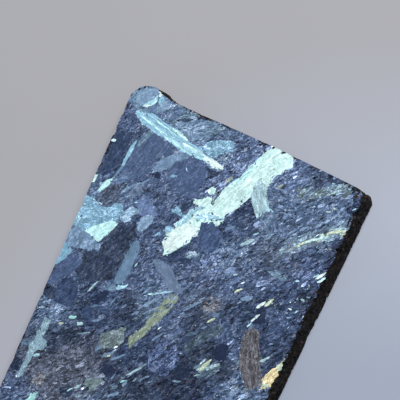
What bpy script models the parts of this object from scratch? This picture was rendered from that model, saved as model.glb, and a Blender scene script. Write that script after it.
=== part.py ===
"""A sawn and polished slab of nuummite, lying flat on its back.

The slab is one piece of stone: a thin plate, longer than it is wide, with a
polished face, a sawn back and rough sawn edges. Its top left corner ends in
a small rounded nub and its other corners are knocked off.

Frame: +Z up, the polished face on top. +Y runs along the slab to the end
with the nub. The origin is the centre of the slab's box, on the surface that
the slab rests on. All lengths are in metres.
"""
import math

import bpy

MM = 0.001

# Driving dimensions
WIDTH = 46.0 * MM
LENGTH = 80.0 * MM
THICKNESS = 5.0 * MM
ARRIS = 0.25 * MM                # worn edge between a face and the sides
ARRIS_SEGMENTS = 2

# The rounded nub at the top left corner, a little wider than it is tall
NUB_RADII = (3.6 * MM, 3.2 * MM)
NUB_STEPS = 14
NUB_END = math.radians(58)       # where the round ends and the shoulder starts
NUB_RISE = 1.0 * MM              # how far the nub stands above the top edge
SHOULDER_RUN = 2.8 * MM          # the slope from the nub down to the top edge
SHOULDER_FOOT = (1.5 * MM, 0.2 * MM)

# The other corners and the two ends, which are not quite square
TOP_EDGE_BREAK = 5.0 * MM        # from here the top edge drops towards the right
TOP_EDGE_FALL = 0.5 * MM
TOP_RIGHT_CHIP = (2.6 * MM, 1.3 * MM)
TOP_RIGHT_BULGE = (0.8 * MM, 0.35 * MM)
BOTTOM_RIGHT_CHIP = (0.9 * MM, 1.1 * MM)
BOTTOM_LEFT_CHIP = (0.7 * MM, 0.6 * MM)
BOTTOM_EDGE_RISE = 0.3 * MM      # the bottom edge rises towards the left side
LEFT_SIDE_TAPER = 1.2 * MM       # both sides lean in towards the bottom
RIGHT_SIDE_TAPER = 1.1 * MM

# Merge distance for the outline's front and back skins
WELD = 0.01 * MM

LEFT = -WIDTH / 2
RIGHT = WIDTH / 2
TOP = LENGTH / 2
BOTTOM = -LENGTH / 2

STONE_COLOUR = (0.045, 0.058, 0.095, 1.0)
STONE_ROUGHNESS = 0.3


def clear_scene():
    for item in list(bpy.data.objects):
        bpy.data.objects.remove(item, do_unlink=True)


def make_collection(name):
    collection = bpy.data.collections.new(name)
    bpy.context.scene.collection.children.link(collection)
    return collection


def arc(centre, radii, start, end, steps):
    """Points on an oval arc, from one angle to another, both in radians."""
    points = []
    for step in range(steps + 1):
        angle = start + (end - start) * step / steps
        points.append((centre[0] + radii[0] * math.cos(angle),
                       centre[1] + radii[1] * math.sin(angle)))
    return points


def slab_outline():
    """The slab's outline seen from above, clockwise from the nub."""
    top_edge = TOP - NUB_RISE
    nub_centre = (LEFT + NUB_RADII[0], TOP - NUB_RADII[1])
    outline = arc(nub_centre, NUB_RADII, math.pi, NUB_END, NUB_STEPS)
    foot = outline[-1][0] + SHOULDER_RUN
    outline.append((foot - SHOULDER_FOOT[0], top_edge + SHOULDER_FOOT[1]))
    outline.append((foot, top_edge))
    outline.append((TOP_EDGE_BREAK, top_edge))

    right_end = top_edge - TOP_EDGE_FALL
    outline.append((RIGHT - TOP_RIGHT_CHIP[0], right_end))
    outline.append((RIGHT - TOP_RIGHT_BULGE[0], right_end - TOP_RIGHT_BULGE[1]))
    outline.append((RIGHT, right_end - TOP_RIGHT_CHIP[1]))

    right_foot = RIGHT - RIGHT_SIDE_TAPER
    outline.append((right_foot, BOTTOM + BOTTOM_RIGHT_CHIP[1]))
    outline.append((right_foot - BOTTOM_RIGHT_CHIP[0], BOTTOM))

    left_foot = LEFT + LEFT_SIDE_TAPER
    left_end = BOTTOM + BOTTOM_EDGE_RISE
    outline.append((left_foot + BOTTOM_LEFT_CHIP[0], left_end))
    outline.append((left_foot, left_end + BOTTOM_LEFT_CHIP[1]))
    return outline


def stone_material():
    material = bpy.data.materials.new("nuummite")
    material.use_nodes = True
    shader = material.node_tree.nodes["Principled BSDF"]
    shader.inputs["Base Color"].default_value = STONE_COLOUR
    shader.inputs["Roughness"].default_value = STONE_ROUGHNESS
    shader.inputs["Metallic"].default_value = 0.0
    return material


def make_slab(collection):
    curve = bpy.data.curves.new("slab", "CURVE")
    curve.dimensions = "2D"
    curve.fill_mode = "BOTH"
    curve.extrude = THICKNESS / 2
    outline = slab_outline()
    spline = curve.splines.new("POLY")
    spline.points.add(len(outline) - 1)
    for point, (x, y) in zip(spline.points, outline):
        point.co = (x, y, 0.0, 1.0)
    spline.use_cyclic_u = True

    slab = bpy.data.objects.new("slab", curve)
    slab.location.z = THICKNESS / 2
    slab.data.materials.append(stone_material())
    collection.objects.link(slab)

    weld = slab.modifiers.new("weld", "WELD")
    weld.merge_threshold = WELD
    bevel = slab.modifiers.new("arris", "BEVEL")
    bevel.width = ARRIS
    bevel.segments = ARRIS_SEGMENTS
    bevel.limit_method = "ANGLE"
    bevel.angle_limit = math.radians(60)
    return slab


clear_scene()
make_slab(make_collection("nuummite slab"))
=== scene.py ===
import math
import random

import bpy
import numpy as np
from mathutils import Matrix, Vector, noise
from mathutils.geometry import delaunay_2d_cdt


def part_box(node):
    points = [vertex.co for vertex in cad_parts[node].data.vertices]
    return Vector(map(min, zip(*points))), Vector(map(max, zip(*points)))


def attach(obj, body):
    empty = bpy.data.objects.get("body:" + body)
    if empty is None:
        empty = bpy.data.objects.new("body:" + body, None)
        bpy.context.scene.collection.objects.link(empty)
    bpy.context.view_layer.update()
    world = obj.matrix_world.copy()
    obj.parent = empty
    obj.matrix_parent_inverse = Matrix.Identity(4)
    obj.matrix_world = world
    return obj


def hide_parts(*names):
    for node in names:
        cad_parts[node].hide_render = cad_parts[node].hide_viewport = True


# A sawn slab of nuummite with one polished face. The slab is one closed
# mesh. Its polished face is a mosaic of crystals that meet edge to edge,
# and its sides and back are rough and sawn stone.

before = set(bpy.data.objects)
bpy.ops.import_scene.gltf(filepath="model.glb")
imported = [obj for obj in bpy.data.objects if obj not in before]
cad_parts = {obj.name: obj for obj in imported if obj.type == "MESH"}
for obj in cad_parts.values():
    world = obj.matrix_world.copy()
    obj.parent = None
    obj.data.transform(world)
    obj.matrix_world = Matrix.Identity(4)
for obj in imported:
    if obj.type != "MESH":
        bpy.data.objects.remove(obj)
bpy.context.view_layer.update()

# Without a seed of its own, Blender's vector noise differs from run to run
noise.seed_set(11)

MM = 0.001

# The slab's own sizes, in millimetres, read from the frame
low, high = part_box("slab")
LEFT, BOTTOM = low.x / MM, low.y / MM
RIGHT, TOP = high.x / MM, high.y / MM
THICKNESS = (high.z - low.z) / MM

# The outline's corners, in millimetres, as the solid has them
NUB_RADII = (3.6, 3.2)
NUB_END = math.radians(58)
NUB_RISE = 1.0
SHOULDER_RUN = 2.8
SHOULDER_FOOT = (1.5, 0.2)
TOP_EDGE_BREAK = 5.0
TOP_EDGE_FALL = 0.5
TOP_RIGHT_CHIP = (2.6, 1.3)
TOP_RIGHT_BULGE = (0.8, 0.35)
BOTTOM_RIGHT_CHIP = (0.9, 1.1)
BOTTOM_LEFT_CHIP = (0.7, 0.6)
BOTTOM_EDGE_RISE = 0.3
LEFT_SIDE_TAPER = 1.2
RIGHT_SIDE_TAPER = 1.1

# Places where the rim of the polished face is broken away: the place, half
# the length along the rim, and the depth, in millimetres
RIM_CHIPS = [
    ((22.8, 34.7), 0.5, 0.55), ((22.8, 31.2), 0.35, 0.25), ((22.7, 28.2), 0.6, 0.35), ((22.6, 21.6), 0.8, 0.25),
    ((22.6, 19.4), 0.4, 0.3), ((22.5, 16.5), 0.8, 0.65), ((22.5, 14.0), 0.5, 0.25), ((22.5, 9.2), 0.3, 0.25),
    ((22.5, 7.0), 0.2, 0.35), ((22.4, 5.9), 0.25, 0.4), ((22.4, 4.2), 0.6, 0.45), ((22.3, 0.5), 0.7, 0.3),
    ((22.0, -6.0), 1.2, 0.5), ((21.9, -14.0), 0.9, 0.4), ((21.8, -21.0), 1.4, 0.6), ((21.6, -31.0), 1.0, 0.4),
    ((23.0, 37.1), 0.4, 0.2), ((21.2, 38.3), 0.5, 0.2), ((9.3, 39.0), 0.45, 0.4), ((2.6, 39.0), 0.5, 0.25),
    ((-8.6, 39.0), 1.5, 0.35), ((-6.0, 39.0), 0.3, 0.15), ((-17.4, 39.5), 0.8, 0.12), ((-22.5, 38.4), 0.7, 0.15),
    ((-20.8, 39.7), 0.8, 0.1), ((-23.0, 34.0), 0.4, 0.25), ((-22.9, 30.4), 0.5, 0.4), ((-22.8, 24.6), 0.4, 0.2),
    ((-22.6, 16.9), 0.5, 0.25), ((-22.4, 8.0), 0.5, 0.2), ((-22.3, 0.4), 0.5, 0.2), ((-22.1, -11.8), 0.8, 0.2),
    ((-22.0, -26.0), 1.1, 0.4), ((-8.0, -39.8), 1.2, 0.4), ((9.0, -39.9), 0.9, 0.35),
]

# How finely the slab is cut, in millimetres
RIM_STEP = 0.24
CRYSTAL_STEP = 0.28
SIDE_DEPTHS = (0.15, 0.4, 0.8, 1.4, 2.0, 2.6, 3.2, 3.8, 4.4, 4.8, 5.0)
NEARNESS = 0.03

# Tones of the stone and its crystals, as the eye reads them, 0 to 255
TONES = {
    "white": (226, 250, 250),
    "mint white": (210, 246, 246),
    "ice mint": (198, 246, 250),
    "mint": (158, 212, 214),
    "ice blue": (172, 220, 240),
    "cyan": (146, 194, 220),
    "sky": (132, 178, 208),
    "ice grey": (146, 180, 208),
    "mist": (136, 168, 186),
    "cloud": (130, 160, 192),
    "steel blue": (104, 134, 164),
    "pale slate": (118, 147, 180),
    "slate": (90, 114, 150),
    "haze": (106, 126, 156),
    "teal grey": (108, 137, 161),
    "grey lens": (166, 200, 212),
    "olive": (134, 150, 134),
    "olive grey": (112, 132, 138),
    "green slate": (76, 96, 116),
    "straw": (198, 216, 190),
    "gold": (236, 219, 172),
    "brown grey": (97, 97, 105),
    "brown slate": (88, 97, 119),
    "dusky slate": (84, 99, 126),
    "dusk": (72, 80, 102),
    "pale brown": (140, 148, 154),
    "warm grey": (117, 120, 132),
    "rust": (78, 50, 46),
    "violet blue": (80, 100, 144),
    "pale violet": (102, 124, 166),
    "violet slate": (78, 97, 134),
    "navy": (70, 90, 128),
    "deep navy": (56, 73, 107),
    "black": (38, 50, 77),
    "green black": (52, 66, 93),
}

# Crystals that stand out, traced in millimetres on the slab's face.
# Each has a name, a tone, the direction of its fibres in degrees, how much
# of it is streaked and how much is flaky, and its outline. A later crystal
# lies over an earlier one.
CRYSTALS = [
    ("top left grey field", "teal grey", 20, 0.4, 0.7, [
        (-15.4, 36.0), (-14.6, 38.9), (-7.8, 38.9), (-4.0, 38.6), (-6.0, 36.2), (-8.0, 34.0), (-12.0, 35.2)]),
    ("teal field", "pale slate", 38, 0.6, 0.6, [
        (-12.4, 36.2), (-10.8, 37.6), (-8.6, 38.7), (-5.2, 38.7), (-6.6, 37.0), (-6.0, 35.6), (-8.2, 34.0),
        (-10.0, 34.8), (-12.6, 35.3)]),
    ("violet cap", "slate", 35, 0.2, 0.6, [
        (-15.2, 36.6), (-14.2, 38.4), (-12.8, 38.8), (-12.2, 37.6), (-13.4, 36.4), (-14.6, 35.9)]),
    ("cyan feather", "sky", 25, 0.8, 0.5, [
        (-7.4, 34.0), (-5.0, 36.1), (-3.9, 36.5), (-1.8, 37.1), (-1.2, 36.2), (-1.1, 35.5), (-2.3, 35.0),
        (-3.0, 34.1), (-3.7, 33.2), (-6.2, 33.5)]),
    ("dark field by the top", "slate", 25, 0.4, 0.7, [
        (-4.9, 37.1), (-4.2, 38.3), (-2.8, 38.9), (0.1, 38.9), (-0.2, 38.1), (-1.6, 37.3), (-3.2, 36.9)]),
    ("nub", "steel blue", 50, 0.2, 0.4, [
        (-22.9, 36.2), (-22.9, 38.2), (-21.4, 39.8), (-19.6, 40.6), (-17.8, 40.2), (-16.4, 39.2), (-15.3, 38.6),
        (-15.4, 37.6), (-16.4, 36.4), (-17.6, 36.0), (-20.4, 36.0), (-21.8, 35.8)]),
    ("nub light", "cloud", 60, 0.2, 0.25, [
        (-21.9, 36.4), (-21.9, 38.2), (-20.6, 39.2), (-19.0, 39.9), (-17.9, 39.6), (-18.6, 38.6), (-18.4, 37.2),
        (-19.8, 36.2)]),
    ("nub shadow", "slate", 70, 0.3, 0.3, [
        (-18.9, 38.7), (-18.1, 38.9), (-17.7, 38.1), (-17.5, 37.0), (-18.0, 36.0), (-19.0, 36.1), (-18.3, 37.2)]),
    ("nub crescent", "ice blue", 60, 0.2, 0.15, [
        (-20.0, 36.2), (-19.1, 36.5), (-18.3, 37.2), (-17.9, 38.2), (-18.1, 39.0), (-18.5, 38.8), (-18.8, 37.9),
        (-19.5, 37.0)]),
    ("nub crest", "white", 60, 0.2, 0.2, [
        (-18.2, 39.6), (-17.5, 39.5), (-17.4, 38.8), (-17.9, 38.8)]),
    ("nub glint", "cyan", 20, 0.1, 0.1, [
        (-17.6, 38.9), (-17.1, 39.2), (-16.7, 38.7), (-16.7, 37.9), (-17.2, 37.4), (-17.6, 38.0)]),
    ("stone beside the nub", "cloud", 30, 0.3, 0.4, [
        (-16.8, 38.5), (-15.3, 38.6), (-14.9, 38.0), (-16.0, 36.7), (-16.8, 36.3), (-17.3, 36.9)]),
    ("rusty chip at the top rim", "rust", 0, 0.2, 0.7, [
        (-9.9, 38.3), (-9.3, 38.9), (-7.2, 39.1), (-6.8, 38.7), (-8.4, 38.4)]),
    ("band under the nub", "steel blue", 5, 0.4, 0.5, [
        (-22.0, 35.9), (-19.0, 36.0), (-17.6, 35.9), (-18.8, 35.3), (-21.2, 35.2)]),
    ("left dark field", "deep navy", 80, 0.7, 0.45, [
        (-22.9, 31.6), (-21.4, 31.2), (-19.4, 31.0), (-19.3, 27.4), (-19.9, 24.6), (-21.2, 22.6), (-22.9, 23.4)]),
    ("left brown field", "dusky slate", 65, 0.3, 0.7, [
        (-20.4, 20.4), (-19.2, 22.8), (-17.4, 23.6), (-16.7, 22.2), (-16.9, 20.8), (-16.1, 20.1), (-17.2, 19.2),
        (-18.9, 18.3), (-20.4, 18.8)]),
    ("fibrous field", "violet slate", 74, 1.0, 0.25, [
        (-17.8, 31.6), (-15.6, 32.8), (-12.2, 32.4), (-11.2, 31.2), (-13.0, 29.4), (-13.4, 27.0), (-15.0, 24.4),
        (-17.4, 24.0), (-19.0, 25.6), (-18.3, 28.6)]),
    ("grey strand", "teal grey", 72, 0.7, 0.4, [
        (-16.8, 33.4), (-16.0, 33.2), (-16.4, 31.8), (-17.2, 29.8), (-17.8, 29.6), (-17.5, 31.4)]),
    ("slate lens by the bright foot", "slate", 40, 0.4, 0.4, [
        (-19.2, 22.2), (-18.8, 23.6), (-17.6, 24.9), (-16.4, 25.6), (-16.0, 25.0), (-16.8, 23.8), (-17.8, 22.8)]),
    ("smooth violet field", "violet slate", 60, 0.2, 0.3, [
        (-8.2, 31.9), (-5.2, 32.0), (-4.3, 31.0), (-3.5, 29.4), (-4.3, 27.2), (-5.4, 25.8), (-8.0, 25.9),
        (-10.0, 26.9), (-9.9, 29.4), (-9.0, 30.6)]),
    ("curved band", "pale slate", 50, 0.4, 0.25, [
        (-12.9, 26.9), (-13.0, 28.4), (-12.6, 29.6), (-11.5, 30.4), (-10.6, 31.3), (-9.2, 32.1), (-7.9, 32.2),
        (-8.3, 31.2), (-9.8, 30.1), (-10.2, 29.0), (-10.9, 28.2), (-11.9, 27.5)]),
    ("thin slate streak", "pale slate", 52, 0.5, 0.2, [
        (-12.2, 26.3), (-13.3, 25.5), (-14.5, 24.3), (-15.9, 23.1), (-16.7, 22.0), (-16.7, 21.2), (-16.0, 22.2),
        (-14.9, 23.6), (-13.7, 24.7), (-12.5, 25.8)]),
    ("slate patch by the streak", "haze", 55, 0.3, 0.4, [
        (-15.2, 23.2), (-14.2, 24.2), (-13.3, 24.0), (-13.6, 22.4), (-14.6, 21.2), (-15.6, 21.9)]),
    ("black speck", "black", 0, 0.1, 0.2, [
        (-12.5, 26.7), (-11.9, 27.3), (-11.3, 27.1), (-11.2, 26.4), (-12.0, 26.2)]),
    ("pale violet patch", "pale violet", 65, 0.2, 0.35, [
        (-13.4, 21.4), (-12.7, 22.9), (-12.0, 22.9), (-10.0, 22.0), (-8.8, 20.8), (-9.6, 20.0), (-10.6, 19.4),
        (-12.0, 19.7)]),
    ("blue patch under it", "cloud", 70, 0.2, 0.3, [
        (-11.3, 19.2), (-10.3, 20.3), (-9.2, 20.3), (-8.9, 19.5), (-9.5, 18.4), (-10.1, 17.3), (-10.9, 17.1),
        (-11.4, 18.2)]),
    ("its bright foot", "ice mint", 66, 0.3, 0.1, [
        (-21.1, 19.9), (-20.9, 21.2), (-20.3, 22.4), (-19.6, 22.8), (-19.2, 23.3), (-19.3, 22.1), (-19.8, 21.2),
        (-20.5, 20.1)]),
    ("white chip on the left edge", "mint white", 80, 0.1, 0.2, [
        (-22.9, 22.4), (-22.2, 22.6), (-22.2, 21.2), (-22.9, 20.9)]),
    ("upper cyan blade", "cyan", -6, 1.0, 0.1, [
        (-21.0, 34.9), (-20.3, 35.35), (-19.0, 35.3), (-17.6, 35.8), (-16.3, 35.6), (-15.0, 35.2), (-11.6, 35.1),
        (-10.2, 34.7), (-9.0, 34.0), (-6.9, 33.8), (-6.0, 33.3), (-3.0, 33.05), (-1.1, 32.5), (-1.7, 32.0),
        (-3.2, 31.7), (-5.5, 32.1), (-7.5, 32.2), (-9.9, 32.0), (-13.0, 32.7), (-15.8, 32.9), (-16.7, 33.3),
        (-18.6, 33.5), (-20.2, 34.2)]),
    ("its pale left end", "cyan", -6, 0.9, 0.1, [
        (-20.9, 34.9), (-20.3, 35.3), (-19.0, 35.2), (-18.2, 35.0), (-17.4, 34.4), (-18.4, 33.9), (-20.0, 34.3)]),
    ("its top streak", "ice mint", -10, 0.8, 0.1, [
        (-13.6, 34.9), (-12.0, 35.0), (-10.4, 34.6), (-9.1, 34.0), (-10.2, 34.0), (-12.4, 34.5)]),
    ("its lower streak", "ice blue", -5, 0.9, 0.1, [
        (-15.4, 33.6), (-12.2, 33.3), (-8.6, 33.1), (-6.6, 33.5), (-4.0, 33.0), (-4.8, 32.1), (-9.6, 32.1),
        (-13.0, 32.8)]),
    ("its white tip", "white", -4, 0.6, 0.1, [
        (-6.0, 32.9), (-3.0, 33.0), (-1.1, 32.5), (-1.7, 32.05), (-3.2, 31.8), (-4.9, 32.1)]),
    ("dark hollow under the tip", "green black", 50, 0.3, 0.5, [
        (-4.2, 31.5), (-2.4, 31.5), (-1.2, 31.8), (-1.9, 31.0), (-2.7, 29.8), (-3.2, 30.0), (-3.7, 30.7)]),
    ("teal flakes over the tip", "slate", 20, 0.3, 0.8, [
        (-2.9, 34.3), (-1.6, 34.9), (-0.9, 33.5), (-1.6, 33.0), (-3.0, 33.2), (-3.4, 33.6)]),
    ("cyan patch", "sky", 20, 0.4, 0.4, [
        (-22.8, 18.7), (-21.5, 18.8), (-20.5, 18.4), (-18.7, 18.1), (-17.6, 18.6), (-16.9, 19.3), (-16.2, 19.9),
        (-15.3, 19.9), (-14.9, 19.1), (-15.2, 18.0), (-15.0, 17.0), (-17.6, 14.0), (-20.1, 13.0), (-22.8, 13.2)]),
    ("its blue foot", "cyan", 75, 0.2, 0.5, [
        (-22.8, 14.8), (-21.8, 15.2), (-21.2, 14.2), (-21.6, 13.4), (-22.8, 13.2)]),
    ("cyan flake", "ice grey", 40, 0.2, 0.4, [
        (-15.2, 18.2), (-14.2, 19.7), (-13.8, 20.3), (-12.1, 20.2), (-12.0, 19.8), (-13.0, 18.9), (-13.0, 18.1),
        (-13.8, 17.3), (-14.9, 17.4)]),
    ("slate cyan field", "pale slate", 75, 0.5, 0.35, [
        (-22.8, 13.2), (-20.1, 13.05), (-17.9, 12.9), (-17.3, 12.3), (-16.0, 12.3), (-15.8, 11.3), (-17.2, 10.8),
        (-18.8, 10.2), (-20.6, 9.8), (-22.8, 9.4)]),
    ("left edge strip", "sky", 80, 0.5, 0.2, [
        (-22.9, 10.1), (-21.6, 9.9), (-20.5, 9.3), (-20.9, 7.9), (-21.9, 6.4), (-22.9, 5.4)]),
    ("bright wedge", "ice mint", 42, 0.4, 0.15, [
        (-20.0, 13.1), (-19.0, 14.4), (-17.8, 15.4), (-16.3, 16.6), (-15.4, 16.8), (-14.8, 16.4), (-15.4, 14.9),
        (-16.1, 13.7), (-16.8, 12.5), (-17.6, 12.6), (-18.0, 12.9)]),
    ("dark field", "green black", 70, 0.2, 0.6, [
        (-14.9, 16.2), (-14.5, 17.1), (-13.2, 17.0), (-11.9, 18.4), (-11.3, 17.0), (-10.2, 15.9), (-10.9, 14.9),
        (-11.0, 12.0), (-11.1, 8.4), (-12.6, 7.0), (-14.8, 6.2), (-16.4, 5.2), (-18.4, 6.4), (-18.0, 8.6),
        (-18.4, 10.2), (-16.0, 11.0), (-15.8, 12.5), (-15.9, 14.0)]),
    ("left violet field", "violet slate", 60, 0.2, 0.3, [
        (-22.8, 5.2), (-21.8, 6.4), (-21.0, 7.6), (-20.2, 8.7), (-18.5, 8.9), (-17.9, 8.2), (-18.3, 6.6),
        (-19.4, 5.2), (-20.6, 3.9), (-21.0, 2.4), (-22.7, 2.6)]),
    ("left dark block", "green black", 80, 0.1, 0.4, [
        (-22.7, 2.5), (-20.1, 2.2), (-19.9, 0.4), (-21.0, 0.1), (-22.6, 0.5)]),
    ("navy block", "deep navy", 60, 0.15, 0.4, [
        (-20.2, 4.2), (-18.5, 5.1), (-16.6, 4.5), (-16.2, 2.8), (-16.9, 0.4), (-19.8, 0.2), (-20.3, 2.4)]),
    ("navy block beside it", "deep navy", 60, 0.15, 0.3, [
        (-14.2, 0.9), (-13.6, 2.2), (-12.4, 2.0), (-11.8, 0.8), (-12.4, -0.2), (-13.8, 0.2)]),
    ("black crystal", "black", 45, 0.1, 0.2, [
        (-13.6, 3.4), (-12.5, 5.2), (-10.9, 5.9), (-10.8, 5.0), (-11.6, 4.0), (-11.9, 3.0), (-13.0, 3.0)]),
    ("slate blade", "steel blue", 88, 0.5, 0.1, [
        (-10.4, 15.6), (-9.6, 15.5), (-9.1, 14.6), (-8.95, 12.5), (-9.0, 10.3), (-9.1, 9.2), (-9.4, 8.1),
        (-10.0, 7.6), (-10.9, 7.6), (-11.0, 8.6), (-11.1, 10.2), (-11.0, 12.0), (-10.9, 14.2)]),
    ("blue foot of the slate blade", "steel blue", 30, 0.2, 0.3, [
        (-12.6, 6.0), (-11.6, 7.3), (-10.6, 7.4), (-9.8, 6.9), (-10.6, 6.2), (-11.8, 5.9)]),
    ("white chip under it", "ice blue", 25, 0.3, 0.2, [
        (-10.1, 6.9), (-9.9, 7.6), (-9.3, 7.7), (-8.2, 8.25), (-8.5, 7.7), (-9.2, 7.1), (-9.8, 6.75)]),
    ("slate lens", "haze", -28, 0.5, 0.12, [
        (-6.2, 13.9), (-5.2, 14.4), (-3.2, 14.3), (-1.8, 13.6), (-0.2, 12.5), (1.3, 11.6), (1.4, 10.9),
        (0.0, 10.7), (-1.5, 10.9), (-3.4, 11.9), (-5.2, 13.0)]),
    ("black crystal under the big blade", "deep navy", 30, 0.2, 0.6, [
        (-6.2, 14.7), (-5.5, 15.4), (-4.9, 15.3), (-3.8, 15.9), (-2.0, 18.0), (-1.2, 18.3), (-1.0, 17.0),
        (0.2, 16.5), (0.4, 16.0), (-1.0, 15.3), (-3.0, 14.7), (-4.5, 14.4)]),
    ("navy oval", "navy", 70, 0.1, 0.4, [
        (-0.9, 22.0), (-0.4, 23.3), (0.8, 24.0), (1.8, 23.4), (3.0, 22.9), (3.9, 21.9), (3.9, 20.5), (3.2, 19.2),
        (2.0, 18.7), (0.5, 18.9), (-0.6, 20.3)]),
    ("violet field", "pale violet", 60, 0.15, 0.9, [
        (1.0, 18.2), (3.0, 18.6), (4.5, 19.5), (5.2, 19.0), (5.6, 17.2), (5.3, 16.0), (4.2, 15.5), (2.4, 16.0),
        (1.2, 17.0)]),
    ("green chip under the oval", "ice grey", 45, 0.4, 0.9, [
        (-1.0, 17.0), (-0.6, 17.9), (0.4, 18.2), (1.1, 17.7), (0.2, 17.1), (-0.4, 16.7)]),
    ("navy field by the lens", "slate", 20, 0.2, 0.8, [
        (7.3, 32.8), (8.6, 33.0), (11.5, 32.6), (13.2, 31.5), (13.0, 30.2), (10.0, 29.5), (8.9, 29.8),
        (7.8, 30.7)]),
    ("teal patch by the chip", "sky", 30, 0.2, 0.4, [
        (-6.9, 22.8), (-6.2, 23.5), (-5.4, 23.4), (-4.8, 22.9), (-4.5, 22.3), (-5.6, 22.5), (-6.6, 22.3)]),
    ("cyan chip by the big blade", "cyan", 20, 0.2, 0.2, [
        (-6.5, 19.9), (-5.6, 20.2), (-4.9, 19.8), (-5.3, 19.0), (-6.2, 18.8)]),
    ("blue sliver", "sky", 35, 0.2, 0.2, [
        (-8.0, 17.5), (-7.6, 18.1), (-7.0, 18.5), (-7.1, 18.1), (-7.5, 17.7)]),
    ("big white blade", "mint white", 61, 0.65, 0.14, [
        (5.3, 38.9), (5.6, 39.2), (8.8, 39.2), (9.7, 37.3), (8.6, 35.9), (7.7, 34.8), (7.05, 32.4), (5.4, 32.0),
        (5.2, 30.0), (4.2, 28.0), (3.2, 26.5), (2.4, 25.7), (2.7, 24.8), (2.2, 23.8), (1.7, 23.35), (0.9, 23.7),
        (-0.2, 23.2), (-0.9, 22.9), (-0.65, 20.6), (-1.3, 20.0), (-1.3, 19.1), (-2.2, 18.0), (-3.7, 16.1),
        (-4.9, 15.4), (-4.9, 16.1), (-5.9, 17.1), (-5.6, 19.2), (-4.7, 20.2), (-5.4, 20.6), (-4.4, 22.1),
        (-3.9, 23.9), (-2.3, 25.3), (-3.7, 25.2), (-3.9, 26.0), (-2.6, 26.3), (-1.9, 27.2), (-1.0, 27.2),
        (-0.6, 26.4), (0.0, 28.0), (0.2, 29.6), (1.0, 30.8), (1.9, 32.2), (2.7, 34.5), (3.9, 37.0),
        (4.7, 38.2)]),
    ("its white foot", "white", 61, 0.4, 0.1, [
        (-5.8, 17.2), (-5.4, 19.0), (-4.2, 20.6), (-2.6, 22.0), (-1.2, 21.8), (-0.9, 20.8), (-1.5, 19.4),
        (-2.4, 18.0), (-3.8, 16.3), (-4.7, 16.3)]),
    ("its cyan edge", "ice blue", 61, 0.9, 0.35, [
        (-5.2, 20.6), (-4.3, 22.1), (-3.8, 23.9), (-2.3, 25.3), (-1.6, 25.2), (-2.8, 23.6), (-3.2, 22.0),
        (-4.4, 20.7)]),
    ("its upper cyan edge", "ice mint", 61, 0.8, 0.2, [
        (0.3, 29.8), (1.0, 30.8), (1.9, 32.2), (2.7, 34.5), (3.9, 37.0), (4.6, 37.6), (3.8, 35.0), (2.9, 32.6),
        (1.6, 30.2)]),
    ("its cream edge", "mint white", 61, 0.6, 0.12, [
        (4.0, 29.0), (5.2, 31.6), (5.4, 33.6), (6.6, 35.2), (7.4, 37.4), (8.8, 38.8), (9.5, 37.3), (8.4, 35.9),
        (7.5, 34.8), (6.9, 32.6), (5.3, 32.0), (5.1, 30.0), (4.2, 28.2)]),
    ("its blue band", "ice blue", 12, 0.9, 0.45, [
        (-2.4, 23.6), (-1.0, 24.6), (0.6, 24.9), (2.2, 25.2), (2.5, 24.7), (1.0, 24.3), (-0.6, 23.6), (-1.6, 22.8)]),
    ("brown break in the big blade", "mist", 75, 0.4, 1.0, [
        (-0.9, 26.3), (-1.0, 27.6), (-0.7, 28.8), (-0.3, 29.0), (-0.1, 28.0), (-0.4, 27.2), (-0.1, 26.2)]),
    ("chip beside the break", "mint white", 60, 0.2, 0.2, [
        (-2.4, 28.0), (-1.8, 28.95), (-1.0, 28.9), (-1.0, 27.8), (-1.7, 27.6)]),
    ("grey lens over the big blade", "grey lens", -52, 0.9, 0.25, [
        (5.2, 33.3), (7.1, 32.6), (7.9, 30.8), (8.8, 29.9), (9.8, 29.4), (9.0, 28.9), (7.7, 27.4), (7.1, 27.9),
        (6.0, 29.0), (5.1, 30.4), (4.9, 31.8)]),
    ("blue glint on the lens", "ice blue", 10, 0.4, 0.1, [
        (8.4, 29.9), (9.0, 29.5), (10.0, 29.4), (9.2, 29.1), (8.5, 29.1)]),
    ("slate tail of the lens", "slate", -50, 0.6, 0.6, [
        (8.6, 28.9), (9.6, 29.3), (11.0, 28.4), (11.8, 26.6), (11.0, 25.6), (9.6, 26.2), (8.2, 27.4)]),
    ("olive blade", "olive", 72, 0.6, 0.3, [
        (-0.6, 10.0), (0.2, 10.5), (1.0, 10.3), (1.1, 9.5), (0.6, 8.0), (0.1, 6.2), (-0.9, 4.2), (-1.5, 2.6),
        (-2.0, 1.5), (-2.7, 0.2), (-3.2, -0.8), (-3.9, 0.2), (-4.0, 0.8), (-3.3, 1.9), (-2.4, 3.6), (-2.3, 5.0),
        (-2.0, 6.6), (-1.3, 7.8), (-0.9, 9.2)]),
    ("grey green patch", "olive grey", 50, 0.5, 0.6, [
        (-9.1, -1.0), (-7.8, -0.1), (-6.3, 1.5), (-5.2, 1.9), (-5.0, 0.6), (-4.6, -0.3), (-5.0, -1.3),
        (-5.8, -1.8), (-6.9, -2.7), (-8.2, -3.3), (-8.9, -1.9)]),
    ("lower olive patch", "olive grey", 60, 0.4, 0.3, [
        (-7.9, -8.6), (-7.2, -8.1), (-5.8, -7.5), (-4.9, -7.6), (-5.5, -8.8), (-6.0, -10.0), (-6.5, -10.4),
        (-7.6, -10.4), (-8.1, -9.6)]),
    ("pale violet disc", "violet blue", 60, 0.2, 0.9, [
        (0.4, 1.2), (1.5, 2.8), (3.5, 3.3), (5.0, 2.9), (5.9, 1.8), (6.0, 0.2), (5.3, -0.8), (5.2, -2.0),
        (3.5, -2.6), (1.5, -2.2), (0.6, -0.8)]),
    ("dark field by the disc", "black", 30, 0.2, 0.4, [
        (5.6, -0.3), (6.4, 0.6), (7.6, 1.2), (8.6, 0.4), (8.0, -0.8), (7.0, -1.5), (5.8, -1.2)]),
    ("dark patch", "black", 60, 0.1, 0.3, [
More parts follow.
